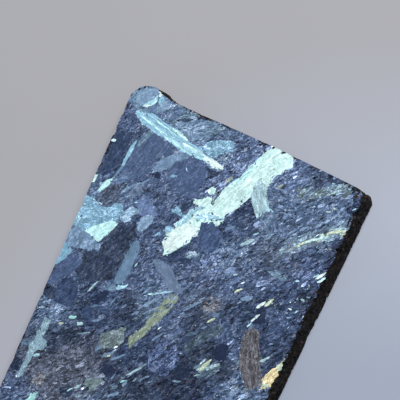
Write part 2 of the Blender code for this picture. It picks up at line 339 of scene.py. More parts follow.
        (-6.3, -5.0), (-4.9, -4.6), (-3.4, -5.2), (-3.2, -6.4), (-4.8, -6.9), (-6.1, -6.3)]),
    ("brown lens", "brown grey", -62, 0.3, 0.6, [
        (14.4, 10.6), (15.4, 11.4), (16.6, 11.0), (17.4, 9.2), (18.4, 8.0), (19.2, 6.4), (20.0, 5.0), (20.5, 3.9),
        (19.9, 3.1), (18.9, 2.1), (18.0, 2.7), (16.7, 3.8), (15.7, 5.2), (14.8, 6.8), (14.2, 9.0)]),
    ("gold crystal", "gold", 66, 1.0, 0.25, [
        (20.2, 4.9), (20.5, 5.7), (21.0, 6.7), (21.8, 8.0), (22.2, 8.9), (22.9, 9.0), (23.0, 6.4), (22.6, 5.4),
        (22.3, 4.5), (21.5, 3.7), (20.8, 3.1), (20.4, 3.8)]),
    ("its pale foot", "straw", 60, 0.2, 0.2, [
        (20.5, 3.9), (21.4, 4.5), (21.9, 4.6), (21.5, 3.9), (20.8, 3.2)]),
    ("its cream top", "straw", 66, 0.4, 0.3, [
        (21.6, 7.4), (21.9, 8.2), (22.3, 8.9), (22.9, 9.0), (22.9, 7.2), (22.2, 6.9)]),
    ("dark broken corner", "deep navy", 60, 0.2, 0.9, [
        (20.6, 38.6), (21.6, 37.0), (21.7, 35.6), (21.0, 34.9), (21.3, 34.2), (22.2, 34.0), (22.9, 33.4),
        (23.2, 38.0), (21.8, 39.0)]),
    ("green strip over it", "olive grey", 80, 0.3, 0.5, [
        (22.1, 8.8), (22.4, 10.8), (22.9, 10.8), (22.9, 8.8)]),
    ("royal blue field", "navy", 40, 0.15, 0.7, [
        (16.6, 15.0), (18.2, 15.4), (20.2, 15.0), (20.6, 13.4), (19.0, 12.4), (17.4, 12.8)]),
    ("dark diamond", "black", 50, 0.15, 0.25, [
        (14.2, 14.4), (15.0, 15.0), (15.9, 14.7), (16.7, 12.9), (15.6, 12.2), (14.7, 11.8), (14.9, 13.0)]),
    ("green strip beside the spot", "green slate", 58, 0.6, 0.6, [
        (5.4, 3.4), (6.4, 2.8), (7.6, 4.6), (9.0, 6.4), (10.6, 8.2), (10.6, 9.4), (9.6, 9.6), (8.2, 8.2),
        (6.9, 6.2)]),
    ("brown patch", "warm grey", 40, 0.3, 0.9, [
        (5.2, 11.2), (6.0, 12.6), (7.4, 13.4), (8.6, 12.6), (8.0, 11.0), (6.6, 10.2)]),
    ("dark brown spot", "black", 60, 0.1, 0.2, [
        (10.5, 4.9), (10.9, 6.3), (11.8, 7.1), (12.7, 6.9), (13.3, 6.0), (13.0, 4.7), (12.0, 4.1), (11.0, 4.2)]),
    ("teal spot by the lens", "slate", 45, 0.2, 0.8, [
        (13.2, 5.9), (14.2, 6.6), (15.0, 5.9), (15.2, 5.2), (14.3, 5.1), (13.5, 5.3)]),
    ("grey lens at the right", "teal grey", 10, 0.5, 0.4, [
        (13.2, 20.4), (14.2, 21.0), (15.5, 21.2), (16.8, 20.9), (17.1, 20.5), (16.2, 20.1), (15.0, 20.0),
        (14.0, 20.2)]),
    ("faint green band", "pale slate", 38, 0.6, 1.0, [
        (12.3, 33.2), (13.7, 34.1), (15.0, 35.2), (16.7, 36.9), (18.5, 37.9), (19.5, 38.6), (21.0, 38.4),
        (20.4, 37.2), (18.9, 36.4), (18.3, 35.3), (16.9, 35.4), (15.2, 34.3), (13.5, 33.1)]),
    ("halo of the straw streak", "haze", 42, 0.7, 0.7, [
        (13.6, 23.6), (14.2, 25.6), (16.0, 27.6), (17.6, 29.0), (19.2, 30.8), (21.2, 32.2), (22.9, 33.4),
        (22.9, 31.0), (21.6, 29.8), (19.6, 28.4), (17.8, 26.2), (15.8, 24.6)]),
    ("straw streak", "pale slate", 40, 0.9, 0.6, [
        (14.2, 24.3), (14.6, 25.2), (15.4, 25.9), (16.6, 27.3), (18.0, 28.0), (18.6, 29.2), (19.6, 29.7),
        (20.2, 30.6), (21.5, 31.3), (22.4, 32.0), (22.9, 31.6), (22.4, 30.6), (21.0, 30.0), (19.9, 29.0),
        (18.5, 28.0), (17.6, 26.9), (16.3, 25.9), (15.4, 25.0)]),
    ("bright part of the streak", "straw", 40, 0.8, 0.3, [
        (16.0, 26.0), (16.5, 27.0), (17.4, 27.9), (18.4, 29.2), (19.5, 29.8), (19.2, 29.0), (18.3, 27.9),
        (17.4, 26.9), (16.7, 26.2)]),
    ("right end of the streak", "straw", 35, 0.8, 0.35, [
        (19.8, 29.9), (20.4, 30.9), (21.6, 31.8), (22.9, 32.3), (22.9, 31.2), (21.6, 30.4), (20.6, 29.9)]),
    ("left end of the streak", "olive", 40, 0.5, 0.9, [
        (14.3, 24.4), (14.8, 25.1), (15.7, 25.7), (15.8, 25.1), (15.1, 24.7)]),
    ("lower left cyan blade", "mist", 88, 0.6, 0.3, [
        (-20.0, -2.9), (-18.6, -2.9), (-18.5, -4.5), (-18.6, -6.1), (-17.6, -6.5), (-17.6, -7.9), (-18.5, -8.3),
        (-19.0, -8.8), (-18.95, -9.7), (-19.1, -11.0), (-19.2, -12.5), (-19.4, -13.9), (-20.1, -14.0),
        (-20.2, -12.0), (-20.0, -10.0), (-20.2, -8.9), (-20.6, -8.1), (-20.0, -7.1), (-20.05, -5.5)]),
    ("its upper end", "mist", 80, 0.4, 0.5, [
        (-20.0, -2.9), (-18.7, -2.9), (-18.6, -4.4), (-18.8, -5.8), (-19.8, -5.9), (-19.9, -4.4)]),
    ("mint blade", "mint", 66, 0.5, 0.1, [
        (-18.6, -20.2), (-17.6, -18.4), (-16.4, -16.2), (-16.0, -15.2), (-15.6, -14.6), (-15.2, -14.5),
        (-15.2, -15.6), (-15.9, -17.4), (-17.0, -19.4), (-18.1, -20.9)]),
    ("lower brown field", "warm grey", 40, 0.2, 0.8, [
        (-17.2, -13.4), (-16.6, -11.6), (-15.2, -11.0), (-14.9, -12.6), (-15.4, -13.8)]),
    ("dark block on the left edge", "black", 80, 0.1, 0.3, [
        (-22.4, -10.9), (-20.4, -11.2), (-20.3, -13.0), (-21.4, -13.4), (-22.4, -12.8)]),
    ("dark field by the lower chips", "green black", 40, 0.2, 0.5, [
        (-11.9, -12.2), (-10.4, -11.0), (-9.0, -11.2), (-9.4, -12.6), (-11.0, -13.2)]),
]

# Short thin flakes that catch the light: the two ends and the width in
# millimetres, and the tone
SLIVERS = [
    ((-19.3, 23.1), (-18.3, 27.6), 0.34, "steel blue"),
    ((-18.8, 25.8), (-18.2, 30.6), 0.75, "cyan"),
    ((-19.9, 36.3), (-18.6, 36.9), 0.34, "white"),
    ((-18.6, 36.8), (-18.0, 38.3), 0.38, "ice mint"),
    ((-18.0, 38.9), (-17.3, 39.4), 0.3, "white"),
    ((15.9, 26.0), (18.4, 28.4), 0.34, "straw"),
    ((17.2, 27.1), (19.6, 29.4), 0.42, "mint white"),
    ((18.6, 28.3), (20.4, 29.6), 0.3, "grey lens"),
    ((19.7, 29.9), (22.6, 31.6), 0.4, "straw"),
    ((20.0, 30.6), (22.2, 31.9), 0.25, "grey lens"),
    ((14.4, 24.4), (16.3, 26.1), 0.25, "pale brown"),
    ((-19.8, 34.6), (-13.4, 33.5), 0.3, "ice mint"),
    ((-17.0, 35.1), (-11.0, 33.9), 0.22, "ice mint"),
    ((-12.6, 34.9), (-9.3, 34.1), 0.3, "mint white"),
    ((-10.4, 33.4), (-4.4, 32.9), 0.34, "mint white"),
    ((-14.6, 33.2), (-9.0, 32.4), 0.3, "ice mint"),
    ((21.2, 22.5), (22.5, 24.4), 0.42, "white"),
    ((21.8, 22.2), (22.8, 23.5), 0.42, "mint white"),
    ((20.9, 22.8), (21.5, 23.6), 0.35, "ice blue"),
    ((-22.8, 28.9), (-21.9, 29.1), 0.35, "mint white"),
    ((-18.9, -9.6), (-17.9, -8.8), 0.5, "ice blue"),
    ((14.2, 14.4), (15.3, 16.0), 0.42, "white"),
    ((15.4, 15.3), (16.4, 16.9), 0.5, "straw"),
    ((14.9, 13.0), (15.25, 13.7), 0.22, "white"),
    ((14.5, 12.2), (14.95, 12.9), 0.3, "white"),
    ((14.1, 11.1), (14.7, 11.9), 0.3, "ice blue"),
    ((7.1, 22.3), (8.9, 24.2), 0.6, "grey lens"),
    ((11.2, 14.6), (12.9, 15.6), 0.7, "pale slate"),
    ((8.6, 16.0), (9.4, 17.6), 0.6, "pale violet"),
    ((9.7, 15.1), (10.6, 16.2), 0.45, "straw"),
    ((10.0, 16.9), (10.6, 17.3), 0.2, "white"),
    ((8.0, 17.5), (8.9, 18.0), 0.3, "grey lens"),
    ((2.8, 8.8), (5.2, 11.4), 0.45, "pale slate"),
    ((7.4, 8.7), (8.6, 10.0), 0.35, "straw"),
    ((8.0, 10.1), (8.9, 10.9), 0.6, "pale slate"),
    ((7.1, 7.4), (7.8, 8.2), 0.35, "pale slate"),
    ((2.6, 8.0), (3.1, 8.7), 0.25, "pale slate"),
    ((18.7, 7.0), (19.8, 8.5), 0.45, "grey lens"),
    ((9.8, 1.3), (11.1, 4.0), 0.55, "straw"),
    ((0.0, 2.1), (1.2, 3.8), 0.4, "pale slate"),
    ((0.1, 4.1), (0.5, 4.7), 0.22, "white"),
    ((6.2, -2.2), (7.8, -1.7), 0.4, "teal grey"),
    ((-1.6, -5.0), (0.3, -2.7), 0.42, "grey lens"),
    ((-2.0, -6.4), (-1.2, -5.7), 0.32, "mint"),
    ((-3.1, -9.3), (-1.2, -7.9), 0.5, "pale slate"),
    ((-7.0, -4.1), (-5.3, -2.4), 0.45, "teal grey"),
    ((-5.3, -3.9), (-3.2, -2.0), 0.45, "pale slate"),
    ((-5.7, -2.0), (-5.2, -1.4), 0.3, "white"),
    ((-4.9, 5.5), (-2.5, 8.3), 0.35, "pale slate"),
    ((-3.2, 8.9), (-0.5, 10.7), 0.36, "ice blue"),
    ((-4.3, 8.5), (-3.2, 8.9), 0.25, "mint"),
    ((-5.1, 8.1), (-4.1, 10.0), 0.3, "pale slate"),
    ((-14.7, 4.2), (-13.6, 6.6), 0.4, "grey lens"),
    ((-15.8, -1.0), (-14.4, -0.3), 0.45, "mint"),
    ((-13.9, -1.4), (-12.8, -0.7), 0.5, "grey lens"),
    ((-11.6, 0.2), (-10.0, 1.2), 0.35, "pale slate"),
    ((-13.0, -2.8), (-10.9, -1.5), 0.3, "teal grey"),
    ((-12.7, 2.4), (-11.7, 3.0), 0.4, "teal grey"),
    ((-8.8, -3.9), (-7.9, -2.6), 0.5, "steel blue"),
    ((-9.3, -11.0), (-8.3, -9.8), 0.4, "grey lens"),
    ((-10.3, -12.0), (-9.6, -11.1), 0.25, "ice blue"),
    ((-8.6, 11.5), (-8.3, 12.2), 0.3, "ice blue"),
    ((-7.8, 29.9), (-7.0, 29.3), 0.14, "ice blue"),
    ((-9.7, 27.6), (-8.5, 28.2), 0.5, "sky"),
    ((-19.8, 18.5), (-19.0, 18.6), 0.25, "white"),
    ((-15.6, 21.1), (-15.0, 21.9), 0.2, "ice blue"),
    ((-13.6, 21.0), (-13.0, 21.3), 0.2, "ice blue"),
    ((20.4, 18.9), (21.3, 18.7), 0.5, "grey lens"),
    ((21.2, 19.5), (21.9, 19.6), 0.3, "teal grey"),
    ((19.2, 16.5), (19.8, 16.6), 0.25, "white"),
    ((20.4, 16.3), (20.8, 16.9), 0.3, "ice blue"),
    ((17.0, 37.4), (17.6, 37.6), 0.16, "ice blue"),
    ((19.0, 33.8), (19.6, 34.0), 0.16, "white"),
    ((18.2, 33.0), (18.9, 33.2), 0.2, "white"),
    ((-9.7, 3.6), (-9.3, 5.6), 0.2, "pale slate"),
    ((22.0, 34.9), (22.6, 35.4), 0.2, "ice blue"),
    ((6.0, 21.6), (7.4, 23.2), 0.35, "slate"),
    ((3.8, 23.7), (4.9, 24.7), 0.3, "pale slate"),
    ((8.4, 24.8), (9.2, 25.4), 0.25, "ice blue"),
    ((-22.0, 18.9), (-20.6, 20.4), 0.3, "pale slate"),
    ((18.3, 20.9), (19.0, 21.3), 0.3, "ice blue"),
]

# Streaks and clusters of many thin flakes: the two ends and the width in
# millimetres, how many flakes, their shortest and longest length, and tones
STREAKS = [
    ((14.4, 24.4), (22.8, 31.8), 0.8, 34, (0.8, 2.2), ("straw", "grey lens", "ice grey", "mist", "pale brown")),
    ((16.2, 26.3), (19.8, 29.6), 0.4, 16, (0.8, 2.0), ("straw", "mint white", "straw")),
    ((19.8, 29.9), (22.5, 31.6), 0.5, 14, (0.7, 1.8), ("straw", "grey lens", "straw")),
    ((4.8, 9.8), (8.0, 13.2), 3.0, 46, (0.3, 0.9), ("warm grey", "black", "dusky slate")),
    ((13.6, 25.6), (22.8, 32.4), 2.6, 50, (0.4, 1.4), ("ice grey", "pale slate", "haze", "cloud")),
    ((14.0, 24.6), (22.6, 32.2), 1.3, 40, (0.5, 1.6), ("mist", "ice grey", "cloud", "haze")),
    ((12.4, 33.2), (20.9, 38.3), 1.6, 84, (0.5, 1.6), ("mist", "grey lens", "olive grey", "haze")),
    ((9.8, 0.4), (12.0, 3.6), 2.4, 34, (0.6, 2.0), ("teal grey", "mist", "green slate", "grey lens")),
    ((14.0, 10.8), (15.3, 13.9), 0.4, 12, (0.2, 0.6), ("white", "white", "ice blue")),
    ((17.5, 15.0), (22.0, 24.0), 5.0, 70, (0.12, 0.4), ("white", "ice blue", "pale slate", "pale violet")),
    ((18.6, 26.6), (21.6, 29.4), 1.6, 30, (0.12, 0.5), ("white", "ice blue", "cloud")),
    ((3.6, 18.4), (8.6, 12.6), 4.2, 80, (0.25, 0.9), ("pale violet", "violet blue", "cloud")),
    ((11.0, 35.4), (16.0, 37.8), 2.6, 50, (0.2, 0.8), ("pale violet", "cloud", "pale slate")),
    ((8.6, 28.4), (12.6, 24.6), 2.6, 40, (0.4, 1.3), ("haze", "cloud", "pale slate")),
    ((-12.6, 36.5), (-7.4, 38.8), 0.6, 16, (0.5, 1.3), ("black", "deep navy")),
    ((-1.2, 16.6), (1.2, 18.0), 1.0, 24, (0.15, 0.5), ("mist", "teal grey", "ice grey")),
    ((-3.4, 33.2), (-0.8, 34.8), 1.2, 24, (0.2, 0.7), ("mist", "grey lens", "black")),
    ((-21.8, 14.0), (-18.4, 17.6), 0.9, 22, (0.15, 0.5), ("ice blue", "ice mint", "sky")),
    ((15.0, 20.4), (19.0, 24.6), 3.4, 50, (0.2, 0.8), ("haze", "brown grey", "pale brown", "black")),
    ((-4.6, 4.0), (2.6, 12.0), 2.2, 36, (0.5, 1.8), ("pale slate", "haze", "cloud")),
    ((-8.0, -12.0), (2.0, -3.0), 4.0, 60, (0.4, 1.5), ("haze", "pale slate", "mist", "black")),
    ((12.0, 13.0), (18.0, 18.0), 4.0, 46, (0.25, 0.9), ("black", "green black", "black")),
    ((16.6, 1.6), (18.8, 2.4), 1.0, 14, (0.2, 0.6), ("olive", "olive grey", "brown grey")),
]

# The ground tone of the stone, by the place of each field's middle
GROUND = [
    ("slate", (-13.0, 37.5)), ("navy", (-3.0, 37.5)), ("pale violet", (0.0, 34.0)),
    ("pale violet", (-3.0, 35.0)), ("pale violet", (11.5, 36.0)), ("deep navy", (15.0, 36.8)),
    ("slate", (20.0, 36.0)), ("slate", (14.5, 31.5)), ("slate", (20.5, 33.5)), ("slate", (12.0, 27.5)),
    ("slate", (17.5, 30.5)), ("deep navy", (20.8, 28.0)), ("deep navy", (5.5, 26.5)),
    ("dusky slate", (13.0, 23.5)), ("violet blue", (20.0, 22.5)), ("slate", (6.5, 21.0)),
    ("violet slate", (12.0, 18.0)), ("navy", (17.5, 18.5)), ("deep navy", (16.5, 15.5)),
    ("black", (21.0, 19.5)), ("violet slate", (8.0, 15.0)), ("navy", (18.5, 14.0)),
    ("deep navy", (12.0, 12.0)), ("dusky slate", (6.4, 11.6)), ("violet slate", (2.5, 13.5)),
    ("deep navy", (19.5, 10.0)), ("green black", (5.0, 8.0)), ("navy", (11.5, 9.0)),
    ("violet slate", (2.5, 6.5)), ("green black", (9.0, 4.5)), ("green black", (13.0, 2.5)),
    ("black", (11.0, -2.5)), ("slate", (17.0, 1.0)), ("black", (7.5, -1.0)), ("navy", (13.5, -1.5)),
    ("slate", (-4.0, 9.0)), ("violet slate", (-7.5, 10.0)), ("violet slate", (-7.0, 16.0)),
    ("green black", (-6.5, 5.0)), ("navy", (-10.0, 4.5)), ("deep navy", (-13.5, 2.0)),
    ("deep navy", (-1.5, 0.0)), ("slate", (-18.5, -1.5)), ("green black", (-14.5, -3.5)),
    ("brown slate", (-12.0, -6.5)), ("green black", (-17.5, -6.0)), ("brown slate", (-16.5, -10.5)),
    ("brown slate", (-12.5, -11.5)), ("violet slate", (-19.0, -16.5)), ("green black", (1.0, -6.5)),
    ("deep navy", (-21.2, 26.0)), ("violet slate", (-21.3, 33.0)), ("violet slate", (-8.0, 24.0)),
    ("navy", (-6.5, 19.0)), ("navy", (4.5, 24.0)), ("slate", (-21.0, 20.0)), ("slate", (6.0, -12.0)),
    ("dusky slate", (14.0, -8.0)), ("deep navy", (18.0, -15.0)), ("navy", (-5.0, -16.0)),
    ("violet slate", (8.0, -21.0)), ("green black", (-13.0, -22.0)), ("slate", (-4.0, -27.0)),
    ("dusky slate", (16.0, -27.0)), ("deep navy", (5.0, -33.0)), ("violet slate", (-16.0, -32.0)),
    ("slate", (17.0, -36.0)), ("navy", (-7.0, -37.0)),
]


def linear(level):
    """One colour level, 0 to 255 as the eye reads it, as light."""
    share = level / 255
    return share / 12.92 if share <= 0.04045 else ((share + 0.055) / 1.055) ** 2.4


def tone_light(name):
    return np.array([linear(level) for level in TONES[name]])


# The slab's outline

def arc(centre, radii, start, end, steps):
    points = []
    for step in range(steps + 1):
        angle = start + (end - start) * step / steps
        points.append((centre[0] + radii[0] * math.cos(angle), centre[1] + radii[1] * math.sin(angle)))
    return points


def corner_points():
    """The corners of the slab's outline, clockwise from the nub."""
    top_edge = TOP - NUB_RISE
    nub_centre = (LEFT + NUB_RADII[0], TOP - NUB_RADII[1])
    points = arc(nub_centre, NUB_RADII, math.pi, NUB_END, 14)
    foot = points[-1][0] + SHOULDER_RUN
    right_end = top_edge - TOP_EDGE_FALL
    right_foot = RIGHT - RIGHT_SIDE_TAPER
    left_foot = LEFT + LEFT_SIDE_TAPER
    left_end = BOTTOM + BOTTOM_EDGE_RISE
    points += [
        (foot - SHOULDER_FOOT[0], top_edge + SHOULDER_FOOT[1]),
        (foot, top_edge),
        (TOP_EDGE_BREAK, top_edge),
        (RIGHT - TOP_RIGHT_CHIP[0], right_end),
        (RIGHT - TOP_RIGHT_BULGE[0], right_end - TOP_RIGHT_BULGE[1]),
        (RIGHT, right_end - TOP_RIGHT_CHIP[1]),
        (right_foot, BOTTOM + BOTTOM_RIGHT_CHIP[1]),
        (right_foot - BOTTOM_RIGHT_CHIP[0], BOTTOM),
        (left_foot + BOTTOM_LEFT_CHIP[0], left_end),
        (left_foot, left_end + BOTTOM_LEFT_CHIP[1]),
    ]
    return points


def walk(points, step):
    """Points at even steps along a closed outline."""
    walked = []
    for here, there in zip(points, points[1:] + points[:1]):
        length = math.dist(here, there)
        parts = max(1, round(length / step))
        for part in range(parts):
            share = part / parts
            walked.append((here[0] + (there[0] - here[0]) * share, here[1] + (there[1] - here[1]) * share))
    return walked


def outward_normals(ring):
    """The outward direction at each point of a clockwise ring."""
    ring = np.array(ring)
    along = np.roll(ring, -3, axis=0) - np.roll(ring, 3, axis=0)
    normals = np.stack([-along[:, 1], along[:, 0]], axis=1)
    return normals / np.linalg.norm(normals, axis=1)[:, None]


def chip_depth(x, y):
    """How far the polished face's rim is worn or chipped back, in millimetres."""
    rough = 0.34 if x > RIGHT - 2.0 else 0.05
    slow = noise.noise((x * 1.4, y * 1.4, 3.0))
    fast = noise.noise((x * 2.9, y * 2.9, 8.0))
    depth = 0.02 + rough * max(0.0, 0.35 + slow + fast)
    for place, half_length, bite in RIM_CHIPS:
        reach = math.dist((x, y), place) / half_length
        if reach < 1.6:
            ragged = 0.75 + 0.5 * noise.noise((x * 3.1, y * 3.1, 30.0))
            depth += bite * ragged * max(0.0, 1 - (reach / 1.6) ** 2)
    return depth


# The mosaic of crystals

def wander(x, y):
    """Grown crystal edges are never straight: every edge drifts by this map."""
    wide = noise.noise_vector((x * 0.55, y * 0.55, 0.0))
    close = noise.noise_vector((x * 1.9, y * 1.9, 5.0))
    fine = noise.noise_vector((x * 5.1, y * 5.1, 9.0))
    return (x + 0.16 * wide.x + 0.11 * close.x + 0.06 * fine.x,
            y + 0.16 * wide.y + 0.11 * close.y + 0.06 * fine.y)


def drifted(outline):
    """An outline moved by the map: a tiny chip as a whole, anything larger point by point."""
    if len(outline) > 4:
        return turned_left([wander(x, y) for x, y in walk(outline, CRYSTAL_STEP)])
    middle = np.mean(outline, axis=0)
    shift = wander(middle[0], middle[1]) - middle
    return turned_left([(x + shift[0], y + shift[1]) for x, y in outline])


def turned_left(points):
    """The outline in the order that keeps its inside on the left."""
    doubled = sum(here[0] * there[1] - there[0] * here[1] for here, there in zip(points, points[1:] + points[:1]))
    return points if doubled > 0 else points[::-1]


def lath_outline(start, end, width, bulge=0.0):
    """A thin pointed crystal between two ends."""
    start, end = Vector(start), Vector(end)
    along = end - start
    across = Vector((-along.y, along.x)).normalized() * width / 2
    stations = ((0.0, 0.25), (0.16, 0.85), (0.42, 1.0), (0.72, 0.9), (0.92, 0.5), (1.0, 0.12))
    if along.length < 1.3:
        stations = ((0.0, 0.35), (0.35, 1.0), (0.8, 0.75), (1.0, 0.15))
    upper = [start + along * t + across * (w + bulge * math.sin(math.pi * t)) for t, w in stations]
    lower = [start + along * t - across * (w - bulge * math.sin(math.pi * t)) for t, w in reversed(stations)]
    return [tuple(point) for point in upper + lower]


def chip_outline(centre, half, width):
    """A tiny flake: a leaning four-cornered chip."""
    centre = Vector(centre)
    across = Vector((-half.y, half.x)).normalized() * width / 2
    corners = (centre + half, centre + half * 0.2 + across, centre - half, centre - half * 0.3 - across)
    return [tuple(corner) for corner in corners]


def fibre_direction(x, y):
    """The direction in which small flakes lie, in degrees."""
    swing = 12 * noise.noise((x * 0.08, y * 0.08, 2.0))
    left_share = min(1.0, max(0.0, (-4.0 - x) / 8.0))
    upper_share = min(1.0, max(0.0, (y - 4.0) / 14.0))
    left = 36 + 38 * upper_share
    return 52 * (1 - left_share) + left * left_share + swing


class Crystal:
    def __init__(self, tone, angle, streak, flake):
        self.tone = tone
        self.angle = angle
        self.streak = streak
        self.flake = flake
        self.seed = 0.0


def ground_tone(x, y):
    """The ground's tone at a point: the near fields, blended."""
    gaps = [(math.dist((x, y), place), name) for name, place in GROUND]
    gaps.sort()
    total = np.zeros(3)
    weights = 0.0
    for gap, name in gaps[:3]:
        weight = 1.0 / (gap ** 3 + 0.3)
        total += weight * GROUND_LIGHT[name]
        weights += weight
    return total / weights


GROUND_LIGHT = {name: tone_light(name) for name in TONES}
PALE = np.array((0.86, 1.0, 1.18))


def lifted(tone, lift):
    """A tone made darker, or lighter and paler."""
    if lift < 1:
        return tone * lift
    return tone + (lift - 1) * (0.45 * tone + 0.55 * tone.mean() * PALE)


def small_laths(rng):
    """The small flakes that fill the ground between the large crystals."""
    laths = []
    for _ in range(3700):
        x = rng.uniform(LEFT - 0.5, RIGHT + 0.5)
        y = rng.uniform(BOTTOM - 0.5, TOP + 0.5)
        calm = 0.55 if x < 1 - 0.25 * (y - 20) and y > 5 else 1.0
        length = rng.uniform(0.4, 1.5) * (1.8 if rng.random() < 0.12 else 1.0)
        width = max(0.11, length * rng.uniform(0.2, 0.42))
        angle = math.radians(fibre_direction(x, y) + rng.gauss(0, 13))
        half = Vector((math.cos(angle), math.sin(angle))) * length / 2
        tone = lifted(ground_tone(x, y), math.exp(rng.gauss(0.0, 0.68) * calm - 0.03))
        if rng.random() < 0.05 * calm:
            bright = tone_light(rng.choice(("pale slate", "grey lens", "pale violet", "straw", "steel blue")))
            tone = tone * 0.4 + bright * rng.uniform(0.4, 0.8)
        flake = rng.uniform(0.1, 1.0)
        crystal = Crystal(tone, math.degrees(angle), rng.uniform(0.0, 0.6), flake)
        centre = Vector((x, y))
        laths.append((crystal, lath_outline(centre - half, centre + half, width)))
    return laths


def traced_crystals():
    crystals = []
    for _, tone, angle, streak, flake, outline in CRYSTALS:
        crystals.append((Crystal(tone_light(tone), angle, streak, flake), outline))
    return crystals


def traced_slivers(rng):
    slivers = []
    for start, end, width, tone in SLIVERS:
        along = Vector(end) - Vector(start)
        angle = math.degrees(math.atan2(along.y, along.x))
        ragged = 0.1 * width
        outline = [(x + rng.gauss(0, ragged), y + rng.gauss(0, ragged)) for x, y in lath_outline(start, end, width)]
        slivers.append((Crystal(tone_light(tone), angle, 0.4, 0.2), outline))
    return slivers


def streak_flakes(rng):
    flakes = []
    for start, end, width, count, lengths, tones in STREAKS:
        start, end = Vector(start), Vector(end)
        along = end - start
        across = Vector((-along.y, along.x)).normalized()
        for _ in range(count):
            share = rng.random()
            place = start + along * share + across * rng.gauss(0, 0.3 * width)
            angle = math.radians(fibre_direction(place.x, place.y) + rng.gauss(0, 10))
            if width < 1.0:
                angle = math.atan2(along.y, along.x) + rng.gauss(0, 0.15)
            half = Vector((math.cos(angle), math.sin(angle))) * rng.uniform(*lengths) / 2
            tone = tone_light(rng.choice(tones)) * rng.uniform(0.5, 1.0)
            crystal = Crystal(tone, math.degrees(angle), 0.4, 0.5)
            width_here = max(0.1, half.length * rng.uniform(0.35, 0.8))
            flakes.append((crystal, lath_outline(place - half, place + half, width_here)))
    return flakes


def scratches(rng):
    """Hair-thin pale lines, most of them among the fibrous fields on the left."""
    lines = []
    for _ in range(240):
        x = rng.uniform(LEFT, RIGHT) if rng.random() < 0.5 else rng.uniform(LEFT, 2.0)
        y = rng.uniform(BOTTOM, TOP)
        angle = math.radians(fibre_direction(x, y) + rng.gauss(0, 28))
        half = Vector((math.cos(angle), math.sin(angle))) * rng.uniform(0.15, 0.75)
        centre = Vector((x, y))
        crystal = Crystal(lifted(ground_tone(x, y), rng.uniform(1.6, 3.2)), math.degrees(angle), 0.2, 0.2)
        lines.append((crystal, chip_outline(centre, half, rng.uniform(0.05, 0.1))))
    return lines


def rim_bruises(rng):
    """Dark broken flakes along the rim, most of them on the right side, and none where bright crystals end."""
    bruises = []
    for x, y in walk(corner_points(), 0.3):
        right = x > RIGHT - 3.0
        bright = 2.8 < y < 9.4 if right else x < LEFT + 2.0 and 5.0 < y < 20.0
        if bright or rng.random() > (0.85 if right else 0.3):
            continue
        inward = Vector((-x, 12 - y)).normalized() * abs(rng.gauss(0.25, 0.5) if right else rng.gauss(0.1, 0.2))
        angle = math.radians(fibre_direction(x, y) + rng.gauss(0, 35))
        half = Vector((math.cos(angle), math.sin(angle))) * rng.uniform(0.15, 0.6)
        tone = tone_light("rust" if rng.random() < 0.12 else "black") * rng.uniform(0.15, 0.7)
        centre = Vector((x, y)) + inward
        bruise = Crystal(tone, math.degrees(angle), 0.2, 0.6)
        bruises.append((bruise, chip_outline(centre, half, half.length * rng.uniform(0.7, 1.2))))
    return bruises


def border_flakes(rng, outlined):
    """Small flakes across the borders of the large crystals, so that they grow into their neighbours."""
    flakes = []
    for number, (crystal, outline) in enumerate(outlined):
        border = walk(turned_left(outline), 0.42)
        covered = np.zeros(len(border), bool)
        for _, later in outlined[number + 1:]:
            covered |= inside(np.array(later), np.array(border))
        for (x, y), hidden in zip(border, covered):
            if hidden or rng.random() < 0.5:
                continue
            angle = math.radians(crystal.angle + rng.gauss(0, 30))
            half = Vector((math.cos(angle), math.sin(angle))) * rng.uniform(0.08, 0.34)
            x, y = x + rng.gauss(0, 0.13), y + rng.gauss(0, 0.13)
            own = rng.random() < 0.5
            tone = crystal.tone * rng.uniform(0.6, 1.05) if own else ground_tone(x, y) * rng.uniform(0.7, 1.4)
            centre = Vector((x, y))
            flake = Crystal(tone, crystal.angle, crystal.streak, 0.4)
            flakes.append((flake, chip_outline(centre, half, half.length * rng.uniform(0.7, 1.3))))
    return flakes


def specks(rng):
    """Pale specks, and beside many of them dark flecks of painted shade that stand for small pits; the face itself
    stays flat.
    """
    chips = []
    for _ in range(1200):
        x = rng.uniform(LEFT, RIGHT)
        y = rng.uniform(BOTTOM, TOP)
        crowd = 0.5 + 0.5 * noise.noise((x * 0.3, y * 0.3, 40.0)) + (0.35 if x > 1 - 0.25 * (y - 20) else -0.1)
        if rng.random() > crowd:
            continue
        angle = math.radians(fibre_direction(x, y) + rng.gauss(0, 20))
        along = Vector((math.cos(angle), math.sin(angle)))
        side = Vector((-along.y, along.x))
        if rng.random() < 0.8:
            # Painted shade: a flat dark fleck standing for a small pit beside the speck
            painted_pit_shade = Crystal(tone_light("black") * rng.uniform(0.25, 0.9), math.degrees(angle), 0.1, 0.5)
            half = along * rng.uniform(0.12, 0.45)
            chips.append((painted_pit_shade, chip_outline(Vector((x, y)) - side * 0.16, half, half.length * 0.8)))
        if rng.random() < 0.75:
            tone = tone_light(rng.choice(("white", "ice blue", "pale slate", "pale violet", "grey lens", "pale slate")))
            speck = Crystal(tone * rng.uniform(0.45, 1.0), math.degrees(angle), 0.1, 0.3)
            half = along * rng.uniform(0.06, 0.2)
            chips.append((speck, chip_outline((x, y), half, half.length * rng.uniform(0.8, 1.4))))
    return chips


